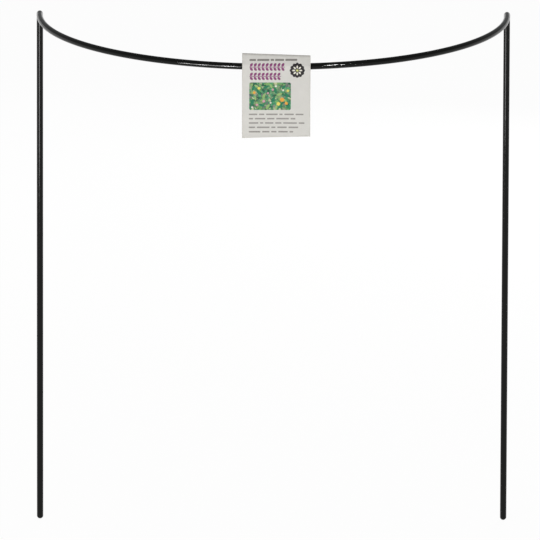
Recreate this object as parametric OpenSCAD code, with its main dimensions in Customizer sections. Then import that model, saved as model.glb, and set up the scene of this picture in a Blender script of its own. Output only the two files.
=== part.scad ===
// Plant support hoop: two upright legs and a half ring bent from one plastic-coated steel wire,
// with a folded card label hung on the middle of the ring.
// Millimetres, +Z up, the ring bows towards -Y. The origin lies midway between the two leg tips.

/* [Hoop] */
// Height from the leg tips to the top of the ring
height = 510; // [300:5:900]
// Distance between the two leg axes, which is also the diameter of the half ring
leg_spacing = 452; // [250:2:700]
// Inside radius of the two corner bends
bend_inside_r = 6; // [4:0.5:25]

/* [Wire] */
// Diameter of the steel wire
core_d = 5; // [2:0.1:8]
// Film that bonds the plastic to the steel
bond_film = 0.05; // [0.02:0.01:0.1]
// Thickness of the plastic coat
coat_t = 0.55; // [0.3:0.05:1.5]

/* [Label card] */
// Width of the card
card_w = 65; // [40:0.5:100]
// Height of the folded card, from its lower edge to the fold, at mid width
card_h = 81; // [60:1:150]
// Thickness of the card
card_t = 0.4; // [0.2:0.05:0.8]
// Height of the fold over the wire's centre, at mid width
fold_over_wire = 12; // [9:0.5:25]
// Inside radius of the fold
fold_inside_r = 0.5; // [0.2:0.1:1.5]
// Tilt of the fold, lower on the right
fold_tilt = 2; // [0:0.25:4]
// Tilt of the lower edge, higher on the right
edge_tilt = 1.5; // [0:0.25:4]
// Least gap between the card and the wire
card_clear = 0.3; // [0.2:0.05:1]
// Place of the card round the ring, in degrees to the right of the middle
card_at = 0.7; // [-70:0.1:70]

/* [Label glue] */
// Height of the glue strip
glue_h = 12; // [6:1:30]
// Thickness of the glue strip
glue_t = 0.2; // [0.1:0.05:0.5]
// Bare margin between the glue and the edges of the card
glue_margin = 3; // [1:0.5:8]

/* [Hidden] */
$fn = 96;

core_r = core_d / 2;
bore_r = core_r + bond_film;
wire_r = bore_r + coat_t;
leg_x = leg_spacing / 2;
bend_r = bend_inside_r + wire_r;
ring_r = leg_spacing / 2;
ring_z = height - wire_r;
bend_z = ring_z - bend_r;
tip_z = wire_r;
past = 1;

// The ring's inner side curves away behind a flat card, so the card's eye is this much deeper than the wire.
inner_r = ring_r - wire_r;
ring_bow = inner_r - sqrt(pow(inner_r, 2) - pow(card_w / 2, 2));
eye_x = ring_bow / 2;
eye_r = wire_r + card_clear;
// The tilted eye runs this far above and below the level wire at the card's sides.
eye_z = card_w / 2 * tan(fold_tilt);
fold_z = fold_over_wire - card_t - fold_inside_r;
edge_z = fold_over_wire - card_h;
glue_z = edge_z + glue_h;
glue_half = glue_t / 2;

// The upper leaf touches the fold's arc and the eye's arc, and the lower leaf the eye's arc and the glue.
upper_run = norm([eye_x, fold_z - eye_z]);
upper_lean = asin((eye_r - fold_inside_r) / upper_run) + atan2(eye_x, fold_z - eye_z);
lower_run = norm([eye_x - glue_half, -eye_z - glue_z]);
lower_lean = asin(eye_r / lower_run) + atan2(eye_x - glue_half, -eye_z - glue_z);
arc_step = 5;

function arc(centre, r, from, to) =
    let (steps = ceil(abs(to - from) / arc_step))
    [for (i = [0 : steps]) let (a = from + (to - from) * i / steps) centre + r * [cos(a), sin(a)]];

// One side of the card's section, from the fold down past the lower edge, grown from its inside face.
function leaf_side(grow) = concat(
    arc([0, fold_z], fold_inside_r + grow, 90, upper_lean),
    arc([eye_x, eye_z], eye_r + grow, upper_lean, 0),
    arc([eye_x, -eye_z], eye_r + grow, 0, -lower_lean),
    [[glue_half + grow, glue_z - grow * tan(lower_lean / 2)]],
    [[glue_half + grow, edge_z - card_w]]
);

function reversed(points) = [for (i = [len(points) - 1 : -1 : 0]) points[i]];

// One side read upwards to the fold, then its mirror image read down again from the next point.
function leaf_outline(grow) =
    let (side = leaf_side(grow))
    concat(reversed(side), [for (i = [1 : len(side) - 1]) [-side[i][0], side[i][1]]]);

// A round rod along the whole bent wire, with its straight ends lengthened downwards.
module bent_rod(r, longer = 0) {
    for (side = [-1, 1]) {
        translate([side * leg_x, 0, tip_z - longer])
            cylinder(r = r, h = bend_z - tip_z + longer);
        translate([side * leg_x, -bend_r, bend_z])
            rotate([90, 0, 90])
                rotate_extrude(angle = 90)
                    translate([bend_r, 0])
                        circle(r = r);
    }
    translate([0, -bend_r, ring_z])
        rotate([0, 0, 180])
            rotate_extrude(angle = 180)
                translate([ring_r, 0])
                    circle(r = r);
}

module steel_core() {
    color("silver")
        bent_rod(core_r);
}

module plastic_coat() {
    color("#161716")
        difference() {
            bent_rod(wire_r);
            bent_rod(bore_r, past);
        }
}

module tip(side) {
    color("#161716")
        translate([side * leg_x, 0, tip_z])
            rotate_extrude()
                intersection() {
                    circle(r = wire_r);
                    translate([0, -wire_r])
                        square(wire_r);
                }
}

// Puts what is drawn round the origin, facing -Y, on the ring at the card's place.
module on_ring() {
    translate([0, -bend_r, ring_z])
        rotate([0, 0, card_at])
            translate([0, eye_x - ring_r, 0])
                children();
}

// The card's front outline as a deep block, drawn in from the edges by a margin.
module card_outline(margin) {
    half = card_w / 2 - margin;
    low = edge_z + margin;
    rise = half * tan(edge_tilt);
    rotate([90, 0, 0])
        linear_extrude(card_h, center = true)
            polygon([[-half, low - rise], [half, low + rise], [half, card_h], [-half, card_h]]);
}

// Runs a section, drawn with its depth along x and its height along y, along the tilted fold.
module across_card() {
    rotate([0, fold_tilt, 0])
        rotate([90, 0, 90])
            linear_extrude(2 * card_w, center = true)
                children();
}

module label_card() {
    color("#d6d4cf")
        on_ring()
            intersection() {
                across_card()
                    polygon(concat(leaf_outline(card_t), reversed(leaf_outline(0))));
                card_outline(0);
            }
}

module label_glue() {
    color("wheat")
        on_ring()
            intersection() {
                across_card()
                    translate([-glue_half, glue_z - card_w])
                        square([glue_t, card_w]);
                card_outline(glue_margin);
            }
}

steel_core();
plastic_coat();
tip(-1);  // left_tip
tip(1);  // right_tip
label_card();
label_glue();
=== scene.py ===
import math
import bmesh
import bpy
from mathutils import Matrix, Vector


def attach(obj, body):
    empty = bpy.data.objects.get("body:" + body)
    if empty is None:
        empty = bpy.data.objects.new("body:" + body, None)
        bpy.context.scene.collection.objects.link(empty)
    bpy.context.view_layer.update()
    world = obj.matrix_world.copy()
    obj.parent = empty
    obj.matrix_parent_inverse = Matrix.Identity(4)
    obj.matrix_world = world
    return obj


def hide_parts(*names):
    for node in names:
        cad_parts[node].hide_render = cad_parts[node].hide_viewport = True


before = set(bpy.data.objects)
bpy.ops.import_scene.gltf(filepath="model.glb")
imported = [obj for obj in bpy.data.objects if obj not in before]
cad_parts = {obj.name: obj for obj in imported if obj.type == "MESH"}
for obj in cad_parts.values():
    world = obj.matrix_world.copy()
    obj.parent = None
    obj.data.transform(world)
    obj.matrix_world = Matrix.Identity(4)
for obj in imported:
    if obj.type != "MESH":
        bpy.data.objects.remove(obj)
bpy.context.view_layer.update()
mm = 0.001
mergeGap = 0.001 * mm
hair = 0.01 * mm  # slack when edges are picked by their place
print("frame loaded:", sorted(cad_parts))


# small tools used by every piece

def hexToLinear(code):
    parts = [int(code[i:i + 2], 16) / 255 for i in (1, 3, 5)]
    linear = [p / 12.92 if p <= 0.04045 else ((p + 0.055) / 1.055) ** 2.4 for p in parts]
    return (*linear, 1)


def addNode(owner, kind, settings=None, values=None, links=None):
    node = owner.node_tree.nodes.new(kind)
    for name, value in (settings or {}).items():
        setattr(node, name, value)
    for socket, value in (values or {}).items():
        node.inputs[socket].default_value = value
    for socket, source in (links or {}).items():
        owner.node_tree.links.new(source, node.inputs[socket])
    return node


def newMaterial(name):
    material = bpy.data.materials.new(name)
    material.use_nodes = True
    material.node_tree.nodes.clear()
    return material


def smoothStep(value):
    t = min(max(value, 0), 1)
    return t * t * (3 - 2 * t)


def freshStart():
    if bpy.context.mode != "OBJECT":
        bpy.ops.object.mode_set(mode="OBJECT")
    bpy.ops.object.select_all(action="DESELECT")


def takePiece(name):
    piece = bpy.context.object
    piece.name = name
    piece.data.name = name
    return piece


def workOn(piece):
    freshStart()
    piece.select_set(True)
    bpy.context.view_layer.objects.active = piece


def bakePlace(piece):
    workOn(piece)
    bpy.ops.object.transform_apply(location=True, rotation=True, scale=True)


def editAll(piece):
    workOn(piece)
    bpy.ops.object.mode_set(mode="EDIT")
    bpy.ops.mesh.select_all(action="SELECT")


def selectEdges(test):
    bpy.ops.mesh.select_mode(type="EDGE")
    bpy.ops.mesh.select_all(action="DESELECT")
    mesh = bpy.context.object.data
    for edge in bmesh.from_edit_mesh(mesh).edges:
        edge.select_set(all(test(v.co) for v in edge.verts))
    bmesh.update_edit_mesh(mesh)


def pushEdge(step):
    bpy.ops.mesh.extrude_region_move(TRANSFORM_OT_translate={"value": step})


def turnEdge(steps, angle, center, axis):
    bpy.ops.mesh.spin(steps=steps, angle=-angle, center=center, axis=axis)  # spin counts its angle clockwise


def trim(place, normal, clear=True):
    bpy.ops.mesh.select_all(action="SELECT")
    bpy.ops.mesh.bisect(plane_co=place, plane_no=normal, clear_inner=clear)


def finishModifier(piece, kind, **settings):
    workOn(piece)
    modifier = piece.modifiers.new(kind.title(), kind)
    for name, value in settings.items():
        setattr(modifier, name, value)
    bpy.ops.object.modifier_apply(modifier=modifier.name)


def joinPieces(parts, name):
    freshStart()
    for part in parts:
        part.select_set(True)
    bpy.context.view_layer.objects.active = parts[0]
    if len(parts) > 1:
        bpy.ops.object.join()
    return takePiece(name)


def wear(piece, material):
    piece.data.materials.clear()
    piece.data.materials.append(material)


def finishSkin(piece, angle, material):
    workOn(piece)
    bpy.ops.object.shade_smooth_by_angle(angle=angle)
    wear(piece, material)


# camera: the photograph's own viewpoint, far off behind a long lens

shot = {
    "elevation": 13.74,  # degrees, as are the next two
    "azimuth": -0.043,
    "roll": 0.2,
    "distance": 14.0,
    "lens": 960.2,
    "aimRight": -2.43 * mm,
    "aimUp": -4.58 * mm,
    "midHeight": 255 * mm,
    "sensor": 36,
    "near": 0.1,
    "far": 300,
}


def placeCamera():
    elevation, azimuth, roll = (math.radians(shot[k]) for k in ("elevation", "azimuth", "roll"))
    flat = math.cos(elevation)
    back = Vector((math.sin(azimuth) * flat, -math.cos(azimuth) * flat, math.sin(elevation)))
    level = Vector((math.cos(azimuth), math.sin(azimuth), 0))
    upright = back.cross(level)
    right = level * math.cos(roll) + upright * math.sin(roll)
    up = upright * math.cos(roll) - level * math.sin(roll)
    aim = right * shot["aimRight"] + up * shot["aimUp"] + Vector((0, 0, shot["midHeight"]))
    lensData = bpy.data.cameras.new("shopCamera")
    lensData.lens = shot["lens"]
    lensData.sensor_width = shot["sensor"]
    lensData.clip_start = shot["near"]
    lensData.clip_end = shot["far"]
    camera = bpy.data.objects.new("shopCamera", lensData)
    bpy.context.scene.collection.objects.link(camera)
    camera.matrix_world = Matrix.Translation(aim + back * shot["distance"]) @ (
        Matrix((right, up, back)).transposed().to_4x4())
    bpy.context.scene.camera = camera
    print("camera placed")


placeCamera()


# materials

def blackPlasticCoat():
    # soft PVC drawn over wire: near black, half glossy, with slow waves and patches of duller skin
    material = newMaterial("extrudedBlackPvc")
    place = addNode(material, "ShaderNodeTexCoord")
    film = addNode(material, "ShaderNodeTexNoise",
                   values={"Scale": 1 / (14 * mm), "Detail": 3}, links={"Vector": place.outputs["Object"]})
    tone = addNode(material, "ShaderNodeMix", {"data_type": "RGBA"},
                   {6: hexToLinear("#080908"), 7: hexToLinear("#121311")}, {0: film.outputs["Fac"]})
    gloss = addNode(material, "ShaderNodeMapRange",
                    values={"To Min": 0.08, "To Max": 0.13}, links={"Value": film.outputs["Fac"]})
    waves = addNode(material, "ShaderNodeTexNoise",
                    values={"Scale": 1 / (9 * mm), "Detail": 1}, links={"Vector": place.outputs["Object"]})
    wavy = addNode(material, "ShaderNodeBump",
                   values={"Strength": 0.05, "Distance": 1.5 * mm}, links={"Height": waves.outputs["Fac"]})
    shader = addNode(material, "ShaderNodeBsdfPrincipled",
                     values={"IOR": 1.53, "Specular IOR Level": 0.135},
                     links={"Base Color": tone.outputs[2], "Roughness": gloss.outputs[0],
                            "Normal": wavy.outputs["Normal"]})
    addNode(material, "ShaderNodeOutputMaterial", links={"Surface": shader.outputs[0]})
    return material


def drawnSteel():
    # bright drawn wire: grey, with fine lines along its length
    material = newMaterial("drawnSteelWire")
    place = addNode(material, "ShaderNodeTexCoord")
    lines = addNode(material, "ShaderNodeTexNoise",
                    values={"Scale": 1 / (0.4 * mm), "Detail": 2}, links={"Vector": place.outputs["Object"]})
    tone = addNode(material, "ShaderNodeMix", {"data_type": "RGBA"},
                   {6: hexToLinear("#84888a"), 7: hexToLinear("#a3a7a8")}, {0: lines.outputs["Fac"]})
    gloss = addNode(material, "ShaderNodeMapRange",
                    values={"To Min": 0.28, "To Max": 0.42}, links={"Value": lines.outputs["Fac"]})
    shader = addNode(material, "ShaderNodeBsdfPrincipled", values={"Metallic": 1},
                     links={"Base Color": tone.outputs[2], "Roughness": gloss.outputs[0]})
    addNode(material, "ShaderNodeOutputMaterial", links={"Surface": shader.outputs[0]})
    return material


def greyboard():
    # pressed recycled card: pale warm grey, matt, cloudy with short fibres, with painted shade along the fold
    # crease and a little darker along the cut edges
    material = newMaterial("pressedGreyCard")
    place = addNode(material, "ShaderNodeTexCoord")
    cloud = addNode(material, "ShaderNodeTexNoise",
                    values={"Scale": 1 / (9 * mm), "Detail": 4}, links={"Vector": place.outputs["Object"]})
    fibre = addNode(material, "ShaderNodeTexNoise",
                    values={"Scale": 1 / (0.9 * mm), "Detail": 3, "Distortion": 1.2},
                    links={"Vector": place.outputs["Object"]})  # coarser than real fibres, so that it shows
    base = addNode(material, "ShaderNodeMix", {"data_type": "RGBA"},
                   {6: hexToLinear("#d0cec9"), 7: hexToLinear("#dbd9d4")}, {0: cloud.outputs["Fac"]})
    specks = addNode(material, "ShaderNodeMapRange",
                     values={"From Min": 0.56, "From Max": 0.78, "To Max": 0.3},
                     links={"Value": fibre.outputs["Fac"]})
    fibrous = addNode(material, "ShaderNodeMix", {"data_type": "RGBA"}, {7: hexToLinear("#c2bfb8")},
                      {0: specks.outputs[0], 6: base.outputs[2]})
    # painted shade: along the fold crease the card colour is darkened towards #b3b0aa
    crease = addNode(material, "ShaderNodeAttribute", {"attribute_name": "crease"})
    foldShaded = addNode(material, "ShaderNodeMix", {"data_type": "RGBA"}, {7: hexToLinear("#b3b0aa")},
                      {0: crease.outputs["Fac"], 6: fibrous.outputs[2]})
    # the card colour is a little darker along its cut edges
    rim = addNode(material, "ShaderNodeAttribute", {"attribute_name": "rim"})
    rimDarkened = addNode(material, "ShaderNodeMix", {"data_type": "RGBA"}, {7: hexToLinear("#c9c6bf")},
                   {0: rim.outputs["Fac"], 6: foldShaded.outputs[2]})
    dull = addNode(material, "ShaderNodeMapRange",
                   values={"To Min": 0.72, "To Max": 0.9}, links={"Value": cloud.outputs["Fac"]})
    felt = addNode(material, "ShaderNodeBump",
                   values={"Strength": 0.25, "Distance": 0.08 * mm}, links={"Height": fibre.outputs["Fac"]})
    shader = addNode(material, "ShaderNodeBsdfPrincipled", values={"IOR": 1.45, "Specular IOR Level": 0.25},
                     links={"Base Color": rimDarkened.outputs[2], "Roughness": dull.outputs[0],
                            "Normal": felt.outputs["Normal"]})
    addNode(material, "ShaderNodeOutputMaterial", links={"Surface": shader.outputs[0]})
    return material


def driedGlue():
    # thin white paste dried hard: cream, a little shiny, uneven
    material = newMaterial("driedPaperPaste")
    place = addNode(material, "ShaderNodeTexCoord")
    smear = addNode(material, "ShaderNodeTexNoise",
                    values={"Scale": 1 / (3 * mm), "Detail": 2}, links={"Vector": place.outputs["Object"]})
    tone = addNode(material, "ShaderNodeMix", {"data_type": "RGBA"},
                   {6: hexToLinear("#d8cdb0"), 7: hexToLinear("#ece4cf")}, {0: smear.outputs["Fac"]})
    shader = addNode(material, "ShaderNodeBsdfPrincipled", values={"IOR": 1.47, "Roughness": 0.4},
                     links={"Base Color": tone.outputs[2]})
    addNode(material, "ShaderNodeOutputMaterial", links={"Surface": shader.outputs[0]})
    return material


def litho(name, thin, full):
    # offset ink on card: matt, soaked in unevenly, so its depth changes from place to place
    material = newMaterial(name)
    place = addNode(material, "ShaderNodeTexCoord")
    soak = addNode(material, "ShaderNodeTexNoise",
                   values={"Scale": 1 / (1.1 * mm), "Detail": 3}, links={"Vector": place.outputs["Object"]})
    tone = addNode(material, "ShaderNodeMix", {"data_type": "RGBA"},
                   {6: hexToLinear(thin), 7: hexToLinear(full)}, {0: soak.outputs["Fac"]})
    shader = addNode(material, "ShaderNodeBsdfPrincipled",
                     values={"IOR": 1.48, "Roughness": 0.62, "Specular IOR Level": 0.3},
                     links={"Base Color": tone.outputs[2]})
    addNode(material, "ShaderNodeOutputMaterial", links={"Surface": shader.outputs[0]})
    return material


def printedFoliage():
    # a bed of small leaves in offset inks: each cell is one leaf tip, darker in the gaps, sunlit in patches
    material = newMaterial("printedFoliage")
    leafTip = 2.3 * mm
    ruffleShare = 0.0012
    place = addNode(material, "ShaderNodeTexCoord")
    ruffle = addNode(material, "ShaderNodeTexNoise",
                     values={"Scale": 1 / (2.4 * mm), "Detail": 1}, links={"Vector": place.outputs["Object"]})
    shifted = addNode(material, "ShaderNodeMix", {"data_type": "VECTOR"}, {0: ruffleShare},
                      {4: place.outputs["Object"], 5: ruffle.outputs["Color"]})
    tips = addNode(material, "ShaderNodeTexVoronoi", values={"Scale": 1 / leafTip},
                   links={"Vector": shifted.outputs[1]})
    pick = addNode(material, "ShaderNodeSeparateColor", links={"Color": tips.outputs["Color"]})
    greens = addNode(material, "ShaderNodeValToRGB", links={"Fac": pick.outputs[0]})
    ramp = greens.color_ramp
    ramp.elements[0].color = hexToLinear("#1a4f3a")
    ramp.elements[1].position = 0.95
    ramp.elements[1].color = hexToLinear("#b9c79a")
    for position, code in ((0.2, "#2f8259"), (0.42, "#4fa372"), (0.6, "#76ab5c"), (0.76, "#33465a")):
        ramp.elements.new(position).color = hexToLinear(code)
    gaps = addNode(material, "ShaderNodeTexVoronoi", {"feature": "DISTANCE_TO_EDGE"},
                   {"Scale": 1 / leafTip}, {"Vector": shifted.outputs[1]})
    shade = addNode(material, "ShaderNodeMapRange",
                    values={"From Max": 0.14, "To Min": 0.55, "To Max": 0}, links={"Value": gaps.outputs[0]})
    shaded = addNode(material, "ShaderNodeMix", {"data_type": "RGBA"}, {7: hexToLinear("#223a31")},
                     {0: shade.outputs[0], 6: greens.outputs[0]})
    sun = addNode(material, "ShaderNodeTexNoise",
                  values={"Scale": 1 / (8 * mm), "Detail": 2}, links={"Vector": place.outputs["Object"]})
    patches = addNode(material, "ShaderNodeMapRange",
                      values={"From Min": 0.52, "From Max": 0.72, "To Max": 0.4},
                      links={"Value": sun.outputs["Fac"]})
    sunny = addNode(material, "ShaderNodeMix", {"data_type": "RGBA"}, {7: hexToLinear("#c3c58d")},
                    {0: patches.outputs[0], 6: shaded.outputs[2]})
    shader = addNode(material, "ShaderNodeBsdfPrincipled",
                     values={"IOR": 1.48, "Roughness": 0.55, "Specular IOR Level": 0.3},
                     links={"Base Color": sunny.outputs[2]})
    addNode(material, "ShaderNodeOutputMaterial", links={"Surface": shader.outputs[0]})
    return material


coatMaterial = blackPlasticCoat()
steelMaterial = drawnSteel()
cardMaterial = greyboard()
glueMaterial = driedGlue()
plumInk = litho("plumInk", "#93507e", "#783466")
sootInk = litho("sootInk", "#918e89", "#787571")
greyInk = litho("greyInk", "#a3a09b", "#8a8782")
nightInk = litho("nightInk", "#302b2e", "#1d191b")
limeInk = litho("limeInk", "#dcdf96", "#c8cd6e")
creamInk = litho("creamInk", "#ebe8dd", "#d9d5c8")
marigoldInk = litho("marigoldInk", "#eeb04a", "#db8f2f")
primroseInk = litho("primroseInk", "#ece07a", "#d9c842")
mallowInk = litho("mallowInk", "#d9a9b4", "#bf8395")
fernInk = litho("fernInk", "#2a8a62", "#155f40")
sageInk = litho("sageInk", "#9fbf7c", "#7fa85e")
foliageInk = printedFoliage()
print("materials made")


# wire: one round section taken up the left leg, over the bend, round the ring and down the right leg

wire = {
    "radius": 3.1 * mm,
    "coat": 0.55 * mm,
    "legX": 226 * mm,
    "bend": 9.1 * mm,
    "ringZ": 506.9 * mm,
    "tipZ": 3.1 * mm,
    "sides": 64,
    "legSteps": 24,
    "bendSteps": 16,
    "ringSteps": 256,
    "tipRings": 24,
    "rimBevel": 0.1 * mm,  # a fine seam where each sealed tip begins
    "rimSegments": 2,
    "smoothAngle": math.radians(40),
}


def buildCoat():
    legX, bend, ringZ, tipZ = (wire[k] for k in ("legX", "bend", "ringZ", "tipZ"))
    rise = (ringZ - bend - tipZ) / wire["legSteps"]
    freshStart()
    bpy.ops.mesh.primitive_circle_add(vertices=wire["sides"], radius=wire["radius"],
                                      location=(-legX, 0, tipZ))
    piece = takePiece("plasticCoat")
    bakePlace(piece)
    editAll(piece)
    for step in range(wire["legSteps"]):
        pushEdge((0, 0, rise))
    quarter = math.pi / 2
    turnEdge(wire["bendSteps"], quarter, (-legX, -bend, ringZ - bend), (1, 0, 0))
    turnEdge(wire["ringSteps"], math.pi, (0, -bend, ringZ), (0, 0, 1))
    turnEdge(wire["bendSteps"], -quarter, (legX, -bend, ringZ - bend), (1, 0, 0))
    for step in range(wire["legSteps"]):
        pushEdge((0, 0, -rise))
    bpy.ops.mesh.select_all(action="SELECT")
    bpy.ops.mesh.remove_doubles(threshold=mergeGap)
    bpy.ops.mesh.normals_make_consistent(inside=False)
    bpy.ops.object.mode_set(mode="OBJECT")
    finishModifier(piece, "SOLIDIFY", thickness=wire["coat"], offset=-1, use_rim=True)
    bore = wire["radius"] - wire["coat"] / 2  # half way through the wall
    editAll(piece)
    selectEdges(lambda co: co.z < tipZ + hair and math.hypot(abs(co.x) - legX, co.y) > bore)
    bpy.ops.mesh.bevel(offset=wire["rimBevel"], segments=wire["rimSegments"])
    finishSkin(piece, wire["smoothAngle"], coatMaterial)
    return piece


def buildTip(side, name):
    tipZ = wire["tipZ"]
    freshStart()
    bpy.ops.mesh.primitive_uv_sphere_add(segments=wire["sides"], ring_count=wire["tipRings"],
                                         radius=wire["radius"], location=(side * wire["legX"], 0, tipZ))
    piece = takePiece(name)
    bakePlace(piece)
    editAll(piece)
    bpy.ops.mesh.bisect(plane_co=(0, 0, tipZ), plane_no=(0, 0, 1), clear_outer=True, use_fill=True)
    selectEdges(lambda co: co.z > tipZ - hair)
    bpy.ops.mesh.bevel(offset=wire["rimBevel"], segments=wire["rimSegments"])
    finishSkin(piece, wire["smoothAngle"], coatMaterial)
    return piece


coat = buildCoat()
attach(coat, "wire")
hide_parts("plastic_coat")
for side, name, node in ((-1, "leftTip", "left_tip"), (1, "rightTip", "right_tip")):
    tip = buildTip(side, name)
    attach(tip, "wire")
    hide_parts(node)
wear(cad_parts["steel_core"], steelMaterial)
print("wire built:", len(coat.data.polygons), "faces")


# label card: a strip of card led up its back leaf, round the wire, over the fold and down its front leaf

card = {
    "width": 65 * mm,
    "height": 81 * mm,
    "fullThickness": 0.4 * mm,
    "thickness": 0.36 * mm,  # leaves room for the printed layers
    "foldOverWire": 12 * mm,
    "foldRadius": 0.5 * mm,
    "foldTilt": math.radians(2),
    "edgeTilt": math.radians(1.5),
    "clearOfWire": 0.3 * mm,
    "round": math.radians(0.7),  # its place round the ring
    "glueHeight": 12 * mm,
    "glueThickness": 0.2 * mm,
    "glueShare": 0.9,  # of its thickness, so that it stays inside the leaves
    "glueMargin": 3 * mm,
    "spare": 4 * mm,  # extra on each side, cut off again along the outline
    "columns": 36,
    "steps": {"flap": 8, "lower": 28, "eyeLow": 3, "eyeTop": 6, "upper": 5, "fold": 12},
    "rimCuts": (0.5 * mm, 1.4 * mm),
    "creaseBand": 1.6 * mm,
    "rimBand": 0.9 * mm,
    "bow": 0.5 * mm,
    "curl": 0.7 * mm,
    "curlFrom": 14 * mm,  # below the wire
    "curlOver": 55 * mm,
    "frontFrom": -1 * mm,
    "smoothAngle": math.radians(35),
}


def cardSection():
    inner = wire["legX"] - wire["radius"]
    depth = (inner - math.sqrt(inner ** 2 - (card["width"] / 2) ** 2)) / 2
    eye = wire["radius"] + card["clearOfWire"]
    slack = card["width"] / 2 * math.tan(card["foldTilt"])
    fold = card["foldOverWire"] - card["fullThickness"] - card["foldRadius"]
    edge = card["foldOverWire"] - card["height"]
    flap = edge + card["glueHeight"]
    half = card["glueThickness"] / 2
    upper = (math.asin((eye - card["foldRadius"]) / math.hypot(depth, fold - slack))
             + math.atan2(depth, fold - slack))
    lower = (math.asin(eye / math.hypot(depth - half, -slack - flap))
             + math.atan2(depth - half, -slack - flap))
    return {"depth": depth, "eye": eye, "slack": slack, "fold": fold, "edge": edge, "flap": flap,
            "low": edge - card["spare"], "half": half, "upper": upper, "lower": lower}


section = cardSection()


def curlCard(piece):
    # handled card is never dead flat: it bows a little and one lower corner lifts, well below the wire
    halfWidth = card["width"] / 2
    for vertex in piece.data.vertices:
        x, y, z = vertex.co
        low = smoothStep((-z - card["curlFrom"]) / card["curlOver"])
        across = x / halfWidth
        vertex.co.y = y + low * (card["bow"] * (1 - across * across) - card["curl"] * max(across, 0) ** 2)


def cutOutline(margin):
    halfWidth = card["width"] / 2 - margin
    trim((-halfWidth, 0, 0), (1, 0, 0))
    trim((halfWidth, 0, 0), (-1, 0, 0))
    tilt = card["edgeTilt"]
    trim((0, 0, section["edge"] + margin), (-math.sin(tilt), 0, math.cos(tilt)))


def leadTo(start, end, steps):
    for step in range(steps):
        pushEdge((0, (end[0] - start[0]) / steps, (end[1] - start[1]) / steps))


def flapSheet(name, wide, depth):
    # an upright sheet from under the card's lower edge to the top of the glue
    low, high = section["low"], section["flap"]
    freshStart()
    bpy.ops.mesh.primitive_grid_add(x_subdivisions=card["columns"], y_subdivisions=card["steps"]["flap"],
                                    size=1, rotation=(math.pi / 2, 0, 0),
                                    location=(0, depth, (low + high) / 2))
    piece = takePiece(name)
    piece.scale = (wide, high - low, 1)
    bakePlace(piece)
    return piece


def tiltSheet(piece):
    piece.rotation_euler.y = card["foldTilt"]
    bakePlace(piece)


def buildCard():
    s = section
    steps = card["steps"]
    bend = card["foldRadius"]
    eyeLow = (s["depth"] + s["eye"] * math.cos(s["lower"]), -s["slack"] - s["eye"] * math.sin(s["lower"]))
    eyeTop = (s["depth"] + s["eye"] * math.cos(s["upper"]), s["slack"] + s["eye"] * math.sin(s["upper"]))
    foldEnd = (bend * math.cos(s["upper"]), s["fold"] + bend * math.sin(s["upper"]))
    flapEnd = (s["half"], s["flap"])
    piece = flapSheet("labelCard", card["width"] + 2 * card["spare"], s["half"])
    editAll(piece)
    selectEdges(lambda co: co.z > s["flap"] - hair)
    leadTo(flapEnd, eyeLow, steps["lower"])  # up the back leaf
    turnEdge(steps["eyeLow"], s["lower"], (0, s["depth"], -s["slack"]), (1, 0, 0))
    pushEdge((0, 0, 2 * s["slack"]))
    turnEdge(steps["eyeTop"], s["upper"], (0, s["depth"], s["slack"]), (1, 0, 0))
    leadTo(eyeTop, foldEnd, steps["upper"])
    turnEdge(steps["fold"], math.pi - 2 * s["upper"], (0, 0, s["fold"]), (1, 0, 0))
    leadTo((-foldEnd[0], foldEnd[1]), (-eyeTop[0], eyeTop[1]), steps["upper"])  # down the front leaf
    turnEdge(steps["eyeTop"], s["upper"], (0, -s["depth"], s["slack"]), (1, 0, 0))
    pushEdge((0, 0, -2 * s["slack"]))
    turnEdge(steps["eyeLow"], s["lower"], (0, -s["depth"], -s["slack"]), (1, 0, 0))
    leadTo((-eyeLow[0], eyeLow[1]), (-flapEnd[0], flapEnd[1]), steps["lower"])
    leadTo((-flapEnd[0], flapEnd[1]), (-flapEnd[0], s["low"]), steps["flap"])
    bpy.ops.object.mode_set(mode="OBJECT")
    tiltSheet(piece)
    editAll(piece)
    bpy.ops.mesh.remove_doubles(threshold=mergeGap)
    for inset in card["rimCuts"]:
        for away in (-1, 1):
            trim((away * (card["width"] / 2 - inset), 0, 0), (1, 0, 0), clear=False)
    cutOutline(0)
    bpy.ops.mesh.select_all(action="SELECT")
    bpy.ops.mesh.normals_make_consistent(inside=False)
    bpy.ops.object.mode_set(mode="OBJECT")
    front = [p.normal.y for p in piece.data.polygons if p.center.y < card["frontFrom"]]
    if sum(front) > 0:  # the front leaf has to face forward
        editAll(piece)
        bpy.ops.mesh.flip_normals()
        bpy.ops.object.mode_set(mode="OBJECT")
    curlCard(piece)
    finishModifier(piece, "SOLIDIFY", thickness=card["thickness"], offset=1,
                   use_even_offset=True, use_rim=True)
    markCard(piece)
    finishSkin(piece, card["smoothAngle"], cardMaterial)
    return piece


def markCard(piece):
    # crease is 1 on the fold, where painted shade darkens the card; rim is 1 at the cut edges, where the card
    # is a little darker
    halfWidth = card["width"] / 2
    crease = piece.data.attributes.new("crease", "FLOAT", "POINT")
    rim = piece.data.attributes.new("rim", "FLOAT", "POINT")
    for vertex in piece.data.vertices:
        x, y, z = vertex.co
        under = card["foldOverWire"] - (z + x * math.tan(card["foldTilt"]))
        crease.data[vertex.index].value = smoothStep(1 - under / card["creaseBand"])
        low = z - section["edge"] - x * math.tan(card["edgeTilt"])
        rim.data[vertex.index].value = smoothStep(1 - min(halfWidth - abs(x), low) / card["rimBand"])


def buildGlue():
    piece = flapSheet("labelGlue", card["width"], 0)
    tiltSheet(piece)
    editAll(piece)
    cutOutline(card["glueMargin"])
    bpy.ops.object.mode_set(mode="OBJECT")
    curlCard(piece)
    finishModifier(piece, "SOLIDIFY", thickness=card["glueThickness"] * card["glueShare"], offset=0,
                   use_rim=True)
    wear(piece, glueMaterial)
    return piece


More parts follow.
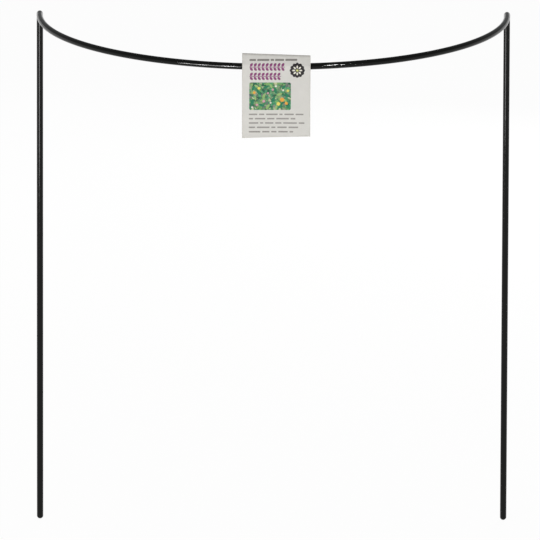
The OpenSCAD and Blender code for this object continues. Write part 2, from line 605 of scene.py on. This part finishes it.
def hangOnRing(piece):
    # from the card's own place, with the wire's centre at the origin, to its place on the ring
    out = Matrix.Translation((0, section["depth"] - wire["legX"], 0))
    turn = Matrix.Rotation(card["round"], 4, "Z")
    piece.matrix_world = Matrix.Translation((0, -wire["bend"], wire["ringZ"])) @ turn @ out
    bakePlace(piece)
    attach(piece, "label")


foldedCard = buildCard()
glueStrip = buildGlue()
print("card built:", len(foldedCard.data.polygons), "faces")


# print on the card: plain leaf, blossom and dash motifs, each laid on the front leaf as a thin skin of ink

ink = {
    "skin": 0.02 * mm,
    "lifts": (0.03 * mm, 0.05 * mm, 0.07 * mm, 0.09 * mm),  # each layer's height over the card
    "stand": 60 * mm,  # the flat shapes wait this far in front of the card
    "slice": 2.5 * mm,
    "fineSlice": 0.5 * mm,  # where the card rolls over the wire
    "roll": 8 * mm,
    "cornerSegments": 4,
}
motif = {"leafSides": 16, "taper": 0.75, "taperPower": 3, "petalSides": 6, "petals": 6, "notch": 0.28}
heading = {
    "rows": ((-23.8, 0.6, 9), (-23.8, -8.6, 8)),  # first x, stem z, in mm, and pairs of leaves
    "spacing": 3.75,
    "leaf": (2.5, 4.2),
    "lean": math.radians(38),
    "stem": 0.6,
    "gap": 0.1,
}
dashes = {
    # x and width of each dash, in mm
    "size": {"z": 7.1, "tall": 1.8, "words": (
        (-25.6, 6.2), (-18.2, 11.5), (-5.4, 3.1), (-1.2, 8.6), (8.6, 11.2))},
    # z of each row and the widths of its dashes
    "text": {"tall": 1.45, "gap": 1.7, "rows": (
        (-46.5, (8, 5, 11, 3, 9, 7.5)),
        (-50.8, (4, 10, 7, 12, 4.5)),
        (-55.1, (9, 3, 8, 6, 13, 5.5)),
        (-59.4, (6, 12, 4, 9, 9.2)),
        (-63.7, (11, 7, 5, 9, 3.5)))},
    "left": -26.0,
    "cornerShare": 0.3,
}
rosette = {
    "x": 19.9, "z": -2.7, "across": 14.6, "scallops": 12, "scallopNotch": 0.12, "petals": 8,
    # shares of the whole
    "petalWide": 0.11, "petalTall": 0.22, "petalOut": 0.23, "eye": 0.17,
}
garden = {
    "x": -5.9, "z": -28.4, "wide": 39.6, "tall": 27.4, "corner": 1.6, "leafSlim": 0.42,
    # x and z from the panel's middle, size, turn, all in mm and degrees
    "fern": ((-16, 8, 6, 20), (-11, 4, 7, -35), (-4, 9, 6, 60), (5, 6, 7, -15), (13, 9, 6, 40),
             (16, 1, 6, -50), (-17, -6, 7, 10), (-8, -9, 6, -70), (3, -3, 7, 30), (10, -8, 7, -20),
             (17, -10, 5, 55)),
    "sage": ((-13, 10, 5, -60), (-6, 0, 6, 15), (1, 10, 5, -25), (9, 2, 6, 70), (-14, -2, 5, -10),
             (-2, -10, 6, 35), (14, -4, 5, -40), (6, -11, 5, 10)),
    "marigold": ((11.5, -3.5, 4.6), (15.5, -7, 3.4), (-15, 3.5, 3)),
    "primrose": ((8, -7.5, 4), (-10.5, 8, 3), (17, 5.5, 2.6)),
    "mallow": ((-6, -5, 3), (-12.5, -8.5, 2.6), (2.5, 6.5, 2.4), (-2, 3, 2.2)),
    "cream": ((5.5, 10, 2.2), (-17, -11, 2), (0.5, -6.5, 2), (12.5, 6, 2)),
}


def flatShape(kind, wide, tall, x, z, turn=0.0, sides=4):
    freshStart()
    place = {"location": (x * mm, -ink["stand"], z * mm), "rotation": (math.pi / 2, turn, 0)}
    if kind == "plane":
        bpy.ops.mesh.primitive_plane_add(size=1, **place)
    else:
        bpy.ops.mesh.primitive_circle_add(vertices=sides, radius=0.5, fill_type="NGON", **place)
    shape = bpy.context.object
    shape.scale = (wide * mm, tall * mm, 1)
    return shape


def barShape(wide, tall, x, z):
    shape = flatShape("plane", wide, tall, x, z)
    bakePlace(shape)
    return shape


def leafShape(wide, tall, x, z, turn):
    shape = flatShape("circle", wide, tall, x, z, turn, motif["leafSides"])
    for vertex in shape.data.vertices:
        along = abs(2 * vertex.co.y)
        vertex.co.x *= 1 - motif["taper"] * along ** motif["taperPower"]  # drawn to a point at both ends
    bakePlace(shape)
    return shape


def blossomShape(across, x, z, petals, turn=0.0, notch=motif["notch"]):
    shape = flatShape("circle", across, across, x, z, turn, motif["petalSides"] * petals)
    for vertex in shape.data.vertices:
        angle = math.atan2(vertex.co.y, vertex.co.x)
        vertex.co *= 1 - notch + notch * abs(math.cos(angle * petals / 2))  # notched between the petals
    bakePlace(shape)
    return shape


def roundCorners(shape, radius):
    editAll(shape)
    bpy.ops.mesh.bevel(offset=radius, segments=ink["cornerSegments"], affect="VERTICES")
    bpy.ops.object.mode_set(mode="OBJECT")


def layOnCard(piece, material, layer=0):
    box = [piece.matrix_world @ Vector(c) for c in piece.bound_box]
    editAll(piece)
    for axis in (0, 2):
        low = min(c[axis] for c in box)
        high = max(c[axis] for c in box)
        normal = tuple(1 if i == axis else 0 for i in range(3))
        place = low + ink["slice"] / 2
        while place < high:
            trim(tuple(place if i == axis else 0 for i in range(3)), normal, clear=False)
            rolled = axis == 2 and abs(place) < ink["roll"]
            place += ink["fineSlice"] if rolled else ink["slice"]
    bpy.ops.object.mode_set(mode="OBJECT")
    finishModifier(piece, "SHRINKWRAP", target=foldedCard, wrap_method="PROJECT", use_project_y=True,
                   use_negative_direction=False, use_positive_direction=True, offset=ink["lifts"][layer])
    finishModifier(piece, "SOLIDIFY", thickness=ink["skin"], offset=-1, use_rim=True)
    wear(piece, material)
    hangOnRing(piece)
    print("printed:", piece.name, len(piece.data.polygons), "faces")


def printHeading():
    sprigs = []
    wide, tall = heading["leaf"]
    spacing, lean, thick = (heading[k] for k in ("spacing", "lean", "stem"))
    rise = thick / 2 + heading["gap"] + tall / 2 * math.cos(lean)
    for firstX, z, count in heading["rows"]:
        run = count * spacing
        sprigs.append(barShape(run, thick, firstX + (run - spacing) / 2, z))
        for i in range(count):
            for way in (-1, 1):
                sprigs.append(leafShape(wide, tall, firstX + i * spacing, z + way * rise, way * lean))
    layOnCard(joinPieces(sprigs, "headingSprigs"), plumInk)


def printBars(bars, name, tall, material):
    piece = joinPieces(bars, name)
    roundCorners(piece, tall * dashes["cornerShare"] * mm)
    layOnCard(piece, material)


def printDashes():
    size, text = dashes["size"], dashes["text"]
    bars = [barShape(wide, size["tall"], x + wide / 2, size["z"]) for x, wide in size["words"]]
    printBars(bars, "sizeDashes", size["tall"], sootInk)
    bars = []
    for z, words in text["rows"]:
        x = dashes["left"]
        for wide in words:
            bars.append(barShape(wide, text["tall"], x + wide / 2, z))
            x += wide + text["gap"]
    printBars(bars, "textDashes", text["tall"], greyInk)


def printRosette():
    x, z, across, petals = (rosette[k] for k in ("x", "z", "across", "petals"))
    wide, tall, out, eyeAcross = (across * rosette[k] for k in ("petalWide", "petalTall", "petalOut", "eye"))
    seal = blossomShape(across, x, z, rosette["scallops"], notch=rosette["scallopNotch"])
    layOnCard(joinPieces([seal], "rosetteSeal"), nightInk)
    daisy = []
    for i in range(petals):
        angle = 2 * math.pi * i / petals
        daisy.append(leafShape(wide, tall, x + out * math.sin(angle), z + out * math.cos(angle), angle))
    layOnCard(joinPieces(daisy, "rosetteDaisy"), creamInk, 1)
    eye = blossomShape(eyeAcross, x, z, motif["petals"])
    layOnCard(joinPieces([eye], "rosetteEye"), limeInk, 1)


def printGarden():
    midX, midZ, slim = (garden[k] for k in ("x", "z", "leafSlim"))
    panel = barShape(garden["wide"], garden["tall"], midX, midZ)
    roundCorners(panel, garden["corner"] * mm)
    layOnCard(joinPieces([panel], "gardenPanel"), foliageInk)
    for group, material, layer in (("fern", fernInk, 1), ("sage", sageInk, 2)):
        leaves = [leafShape(size * slim, size, midX + x, midZ + z, math.radians(turn))
                  for x, z, size, turn in garden[group]]
        layOnCard(joinPieces(leaves, "garden" + group.title()), material, layer)
    for group, material in (("marigold", marigoldInk), ("primrose", primroseInk),
                            ("mallow", mallowInk), ("cream", creamInk)):
        blooms = [blossomShape(size, midX + x, midZ + z, motif["petals"], turn=x)
                  for x, z, size in garden[group]]  # each turned differently, by its place
        layOnCard(joinPieces(blooms, "garden" + group.title()), material, 3)


printHeading()
printDashes()
printRosette()
printGarden()
for piece, node, slot in ((foldedCard, "label_card", "card"), (glueStrip, "label_glue", "glue")):
    hangOnRing(piece)
    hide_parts(node)
print("label hung on the ring")


# studio: white paper floor, soft lamps before and behind, and lamps seen only in the wire's gloss

studio = {
    "floorSize": 160,
    "paper": "#f4f4f2",
    "glow": 0.96,
    "white": 0.975,
    "fill": 0.42,
    "ceiling": {"size": 20, "height": 1.6, "tone": "#9a9c9c"},
    "lamps": {
        "softPanel": {"place": (-0.6, -1.3, 0.5), "aim": (0, -0.2, 0.4), "size": (0.7, 0.7),
                      "watts": 9, "gloss": False},
        "backPanel": {"place": (0.5, 1.6, 0.7), "aim": (0, -0.2, 0.4), "size": (1.0, 1.0),
                      "watts": 14, "gloss": False},
        "lowStrip": {"place": (-0.6, -1.2, 0.3), "aim": (-0.05, -0.15, 0.4), "size": (0.6, 0.5),
                     "watts": 14, "gloss": True},
    },
    "glints": {
        "far": 1.2,
        "tall": 0.12,
        "spread": math.radians(10),
        # degrees round the ring, degrees up the wire's front, lamp's width, watts
        "places": ((-21.6, 2.2, 0.12, 0.016), (-17.4, 2.2, 0.12, 0.02), (-11.0, 2.2, 0.28, 0.08),
                   (13.0, 18, 0.015, 0.025), (14.9, 18, 0.03, 0.03), (16.7, 18, 0.015, 0.02)),
    },
}


def whiteToSeer(owner):
    # 1 for the camera and for what gloss and glass mirror, 0 for light on surfaces
    path = addNode(owner, "ShaderNodeLightPath")
    seen = addNode(owner, "ShaderNodeMath", {"operation": "MAXIMUM"},
                   links={0: path.outputs["Is Camera Ray"], 1: path.outputs["Is Glossy Ray"]})
    return addNode(owner, "ShaderNodeMath", {"operation": "MAXIMUM"},
                   links={0: seen.outputs[0], 1: path.outputs["Is Transmission Ray"]}).outputs[0]


def glintLamps():
    # each stands where the camera finds its mirror image at one place on the front of the ring
    glints = studio["glints"]
    camera = bpy.context.scene.camera.matrix_world.to_translation()
    lamps = {}
    for number, (turn, slope, wide, watts) in enumerate(glints["places"]):
        turn = math.radians(turn)
        slope = math.radians(slope)
        out = Vector((math.sin(turn), -math.cos(turn), 0))
        normal = out * math.cos(slope) + Vector((0, 0, math.sin(slope)))
        aim = Vector((0, -wire["bend"], wire["ringZ"])) + out * wire["legX"] + normal * wire["radius"]
        toLamp = -(camera - aim).normalized().reflect(normal)
        lamps["glint" + str(number)] = {"place": aim + toLamp * glints["far"], "aim": aim,
                                        "size": (wide, glints["tall"]), "watts": watts,
                                        "gloss": True, "spread": glints["spread"], "wireOnly": True}
    return lamps


def buildStudio():
    freshStart()
    bpy.ops.mesh.primitive_plane_add(size=studio["floorSize"])
    floor = takePiece("paperFloor")
    paper = newMaterial("whiteStudioPaper")  # matt seamless paper: even, with soft shadows
    seen = addNode(paper, "ShaderNodeMath", {"operation": "MULTIPLY"}, {1: studio["glow"]},
                   {0: whiteToSeer(paper)})
    matt = addNode(paper, "ShaderNodeBsdfDiffuse", values={"Color": hexToLinear(studio["paper"])})
    glow = addNode(paper, "ShaderNodeEmission")
    both = addNode(paper, "ShaderNodeMixShader",
                   links={0: seen.outputs[0], 1: matt.outputs[0], 2: glow.outputs[0]})
    addNode(paper, "ShaderNodeOutputMaterial", links={"Surface": both.outputs[0]})
    wear(floor, paper)

    ceiling = studio["ceiling"]
    freshStart()
    bpy.ops.mesh.primitive_plane_add(size=ceiling["size"], location=(0, 0, ceiling["height"]))
    roof = takePiece("darkCeiling")
    dark = newMaterial("unlitCeiling")  # the room over the paper, seen only in the gloss of the wire
    dim = addNode(dark, "ShaderNodeEmission", values={"Color": hexToLinear(ceiling["tone"])})
    addNode(dark, "ShaderNodeOutputMaterial", links={"Surface": dim.outputs[0]})
    wear(roof, dark)
    roof.visible_camera = roof.visible_diffuse = roof.visible_shadow = False

    world = bpy.data.worlds.new("whiteStudio")
    world.use_nodes = True
    world.node_tree.nodes.clear()
    fill = addNode(world, "ShaderNodeBackground", values={"Strength": studio["fill"]})
    white = addNode(world, "ShaderNodeBackground", values={"Strength": studio["white"]})
    for shade in (fill, white):
        shade.inputs["Color"].default_value = (1, 1, 1, 1)
    sky = addNode(world, "ShaderNodeMixShader",
                  links={0: whiteToSeer(world), 1: fill.outputs[0], 2: white.outputs[0]})
    addNode(world, "ShaderNodeOutputWorld", links={"Surface": sky.outputs[0]})
    bpy.context.scene.world = world

    glossyWire = bpy.data.collections.new("glossyWire")
    glossyWire.objects.link(coat)
    for name, light in {**studio["lamps"], **glintLamps()}.items():
        lampData = bpy.data.lights.new(name, "AREA")
        lampData.shape = "RECTANGLE"
        lampData.size, lampData.size_y = light["size"]
        lampData.energy = light["watts"]
        lampData.spread = light.get("spread", math.pi)
        lamp = bpy.data.objects.new(name, lampData)
        bpy.context.scene.collection.objects.link(lamp)
        lamp.location = light["place"]
        toward = Vector(light["aim"]) - Vector(light["place"])
        lamp.rotation_euler = toward.to_track_quat("-Z", "Y").to_euler()
        lamp.visible_camera = False
        lamp.visible_glossy = light["gloss"]
        lamp.visible_diffuse = not light["gloss"]
        if light.get("wireOnly"):
            lamp.light_linking.receiver_collection = glossyWire  # the card beside the wire stays matt
    bpy.context.scene.view_settings.view_transform = "Standard"
    print("studio lit")


buildStudio()

freshStart()
